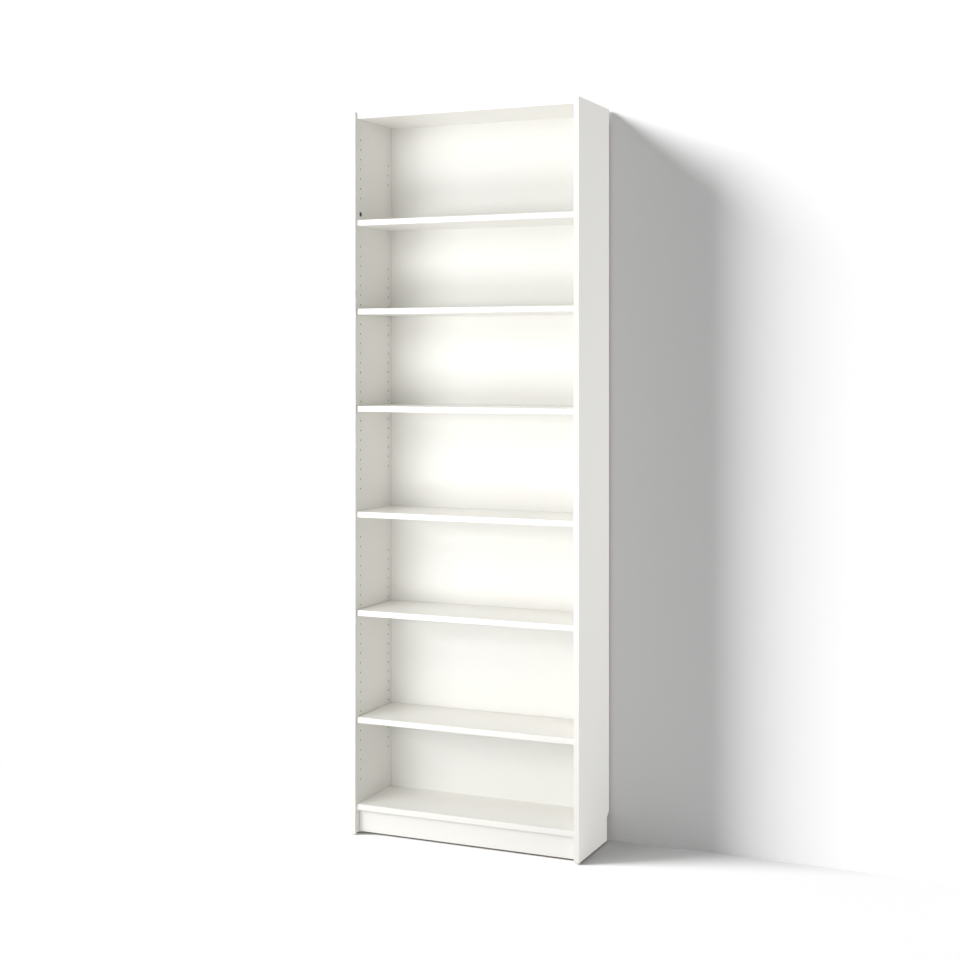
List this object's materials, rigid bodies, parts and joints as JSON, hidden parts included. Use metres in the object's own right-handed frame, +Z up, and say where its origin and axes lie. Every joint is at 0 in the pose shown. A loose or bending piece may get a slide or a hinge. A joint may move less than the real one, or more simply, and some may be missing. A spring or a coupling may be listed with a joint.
{
  "type": "bookcase",
  "caption": "Tall narrow open bookcase in white foil-covered board, with loose and fixed shelves, a plinth, a hardboard back and a height extension held by cam locks.",
  "frame": {"origin": "on the floor in the middle of the footprint", "axes": "+X to the right side, +Y to the back, +Z up; the open front faces -Y"},
  "size_m": [0.8, 0.28, 2.376],
  "materials": {
    "white_board": "satin white foil on particle board",
    "white_back": "matt white lacquer on hardboard",
    "zinc": "die-cast, dull",
    "steel": "zinc-plated",
    "beech": "bare, fluted"
  },
  "bodies": {
    "carcass": {"lower_left_side": "white_board", "lower_right_side": "white_board", "upper_left_side": "white_board", "upper_right_side": "white_board", "bottom_board": "white_board", "fixed_shelf": "white_board", "lower_top_board": "white_board", "upper_top_board": "white_board", "plinth": "white_board", "lower_back_panel": "white_back", "upper_back_panel": "white_back", "shelf_1_pin_front_left": "steel", "shelf_1_pin_front_right": "steel", "shelf_1_pin_rear_left": "steel", "shelf_1_pin_rear_right": "steel", "shelf_2_pin_front_left": "steel", "shelf_2_pin_front_right": "steel", "shelf_2_pin_rear_left": "steel", "shelf_2_pin_rear_right": "steel", "shelf_3_pin_front_left": "steel", "shelf_3_pin_front_right": "steel", "shelf_3_pin_rear_left": "steel", "shelf_3_pin_rear_right": "steel", "shelf_4_pin_front_left": "steel", "shelf_4_pin_front_right": "steel", "shelf_4_pin_rear_left": "steel", "shelf_4_pin_rear_right": "steel", "bottom_board_bolt_left": "steel", "bottom_board_bolt_right": "steel", "fixed_shelf_bolt_left": "steel", "fixed_shelf_bolt_right": "steel", "lower_top_board_bolt_left": "steel", "lower_top_board_bolt_right": "steel", "upper_top_board_bolt_left": "steel", "upper_top_board_bolt_right": "steel", "extension_bolt_left": "steel", "extension_bolt_right": "steel", "bottom_board_dowel_left": "beech", "bottom_board_dowel_right": "beech", "fixed_shelf_dowel_left": "beech", "fixed_shelf_dowel_right": "beech", "lower_top_board_dowel_left": "beech", "lower_top_board_dowel_right": "beech", "upper_top_board_dowel_left": "beech", "upper_top_board_dowel_right": "beech"},
    "loose_shelf_1": {"shelf_1": "white_board"},
    "loose_shelf_2": {"shelf_2": "white_board"},
    "loose_shelf_3": {"shelf_3": "white_board"},
    "loose_shelf_4": {"shelf_4": "white_board"},
    "bottom_cam_left": {"bottom_board_cam_left": "zinc"},
    "bottom_cam_right": {"bottom_board_cam_right": "zinc"},
    "fixed_cam_left": {"fixed_shelf_cam_left": "zinc"},
    "fixed_cam_right": {"fixed_shelf_cam_right": "zinc"},
    "lower_top_cam_left": {"lower_top_board_cam_left": "zinc"},
    "lower_top_cam_right": {"lower_top_board_cam_right": "zinc"},
    "upper_top_cam_left": {"upper_top_board_cam_left": "zinc"},
    "upper_top_cam_right": {"upper_top_board_cam_right": "zinc"},
    "foot_cam_left": {"extension_cam_left": "zinc"},
    "foot_cam_right": {"extension_cam_right": "zinc"}
  },
  "joints": [
    {"name": "shelf_1_out", "type": "slide", "parent": "carcass", "child": "loose_shelf_1", "axis": [0, -1, 0], "range_m": [0, 0.27]},
    {"name": "shelf_2_out", "type": "slide", "parent": "carcass", "child": "loose_shelf_2", "axis": [0, -1, 0], "range_m": [0, 0.27]},
    {"name": "shelf_3_out", "type": "slide", "parent": "carcass", "child": "loose_shelf_3", "axis": [0, -1, 0], "range_m": [0, 0.27]},
    {"name": "shelf_4_out", "type": "slide", "parent": "carcass", "child": "loose_shelf_4", "axis": [0, -1, 0], "range_m": [0, 0.27]},
    {"name": "bottom_cam_left_turn", "type": "hinge", "parent": "carcass", "child": "bottom_cam_left", "pos_m": [-0.364, -0.071, 0.082], "axis": [0, 0, -1], "range_deg": [-150, 0]},
    {"name": "bottom_cam_right_turn", "type": "hinge", "parent": "carcass", "child": "bottom_cam_right", "pos_m": [0.364, -0.071, 0.082], "axis": [0, 0, -1], "range_deg": [-150, 0]},
    {"name": "fixed_cam_left_turn", "type": "hinge", "parent": "carcass", "child": "fixed_cam_left", "pos_m": [-0.364, -0.071, 1.044], "axis": [0, 0, -1], "range_deg": [-150, 0]},
    {"name": "fixed_cam_right_turn", "type": "hinge", "parent": "carcass", "child": "fixed_cam_right", "pos_m": [0.364, -0.071, 1.044], "axis": [0, 0, -1], "range_deg": [-150, 0]},
    {"name": "lower_top_cam_left_turn", "type": "hinge", "parent": "carcass", "child": "lower_top_cam_left", "pos_m": [-0.364, -0.071, 2.023], "axis": [0, 0, 1], "range_deg": [-150, 0]},
    {"name": "lower_top_cam_right_turn", "type": "hinge", "parent": "carcass", "child": "lower_top_cam_right", "pos_m": [0.364, -0.071, 2.023], "axis": [0, 0, 1], "range_deg": [-150, 0]},
    {"name": "upper_top_cam_left_turn", "type": "hinge", "parent": "carcass", "child": "upper_top_cam_left", "pos_m": [-0.364, -0.071, 2.375], "axis": [0, 0, 1], "range_deg": [-150, 0]},
    {"name": "upper_top_cam_right_turn", "type": "hinge", "parent": "carcass", "child": "upper_top_cam_right", "pos_m": [0.364, -0.071, 2.375], "axis": [0, 0, 1], "range_deg": [-150, 0]},
    {"name": "foot_cam_left_turn", "type": "hinge", "parent": "carcass", "child": "foot_cam_left", "pos_m": [-0.382, -0.103, 2.044], "axis": [1, 0, 0], "range_deg": [-150, 0]},
    {"name": "foot_cam_right_turn", "type": "hinge", "parent": "carcass", "child": "foot_cam_right", "pos_m": [0.382, -0.103, 2.044], "axis": [-1, 0, 0], "range_deg": [-150, 0]}
  ]
}
